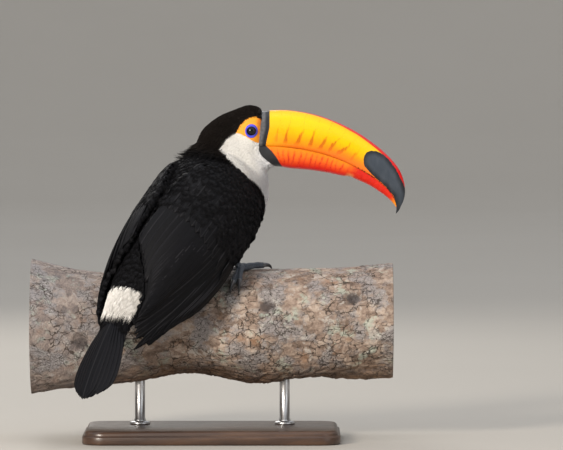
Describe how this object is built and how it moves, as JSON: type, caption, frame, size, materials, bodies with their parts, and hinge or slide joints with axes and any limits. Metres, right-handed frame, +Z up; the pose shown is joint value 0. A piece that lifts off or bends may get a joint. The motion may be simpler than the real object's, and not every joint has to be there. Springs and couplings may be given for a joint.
{
  "type": "toco toucan on a perch",
  "caption": "Still, life-size toco toucan looking along a cut length of branch, its body seen from behind, on a plain display stand.",
  "frame": {"origin": "centre of the underside of the stand's base", "axes": "+X along the perch, the way the bill points; +Y away from the bird's back; +Z up"},
  "size_m": [0.4386, 0.2625, 0.3914],
  "materials": {
    "feathers": "black feathers with a faint blue gloss, white bib and rump",
    "leg_skin": "matt blue-grey scaled skin",
    "claw_horn": "dark grey claw horn, satin",
    "bill_horn_upper": "satin bill horn, yellow to orange with a black tip",
    "bill_horn_lower": "satin bill horn, orange to deep red",
    "eye": "dark glossy eye",
    "bark": "cracked bark with pale lichen, sawn ends",
    "base_wood": "dark stained wood, satin",
    "rod_steel": "brushed steel"
  },
  "bodies": {
    "root": {"trunk": "feathers", "neck": "feathers", "head": "feathers", "tail": "feathers", "wing_left": "feathers", "wing_right": "feathers", "thigh_left": "feathers", "thigh_right": "feathers", "shank_left": "leg_skin", "shank_right": "leg_skin", "foot_left": "leg_skin", "foot_right": "leg_skin", "claw_left_back_inner": "claw_horn", "claw_left_back_outer": "claw_horn", "claw_left_front_inner": "claw_horn", "claw_left_front_outer": "claw_horn", "claw_right_back_inner": "claw_horn", "claw_right_back_outer": "claw_horn", "claw_right_front_inner": "claw_horn", "claw_right_front_outer": "claw_horn", "bill_upper": "bill_horn_upper", "bill_lower": "bill_horn_lower", "eye_left": "eye", "eye_right": "eye", "perch": "bark", "stand_base": "base_wood", "stand_rod_left": "rod_steel", "stand_rod_right": "rod_steel"}
  },
  "joints": []
}
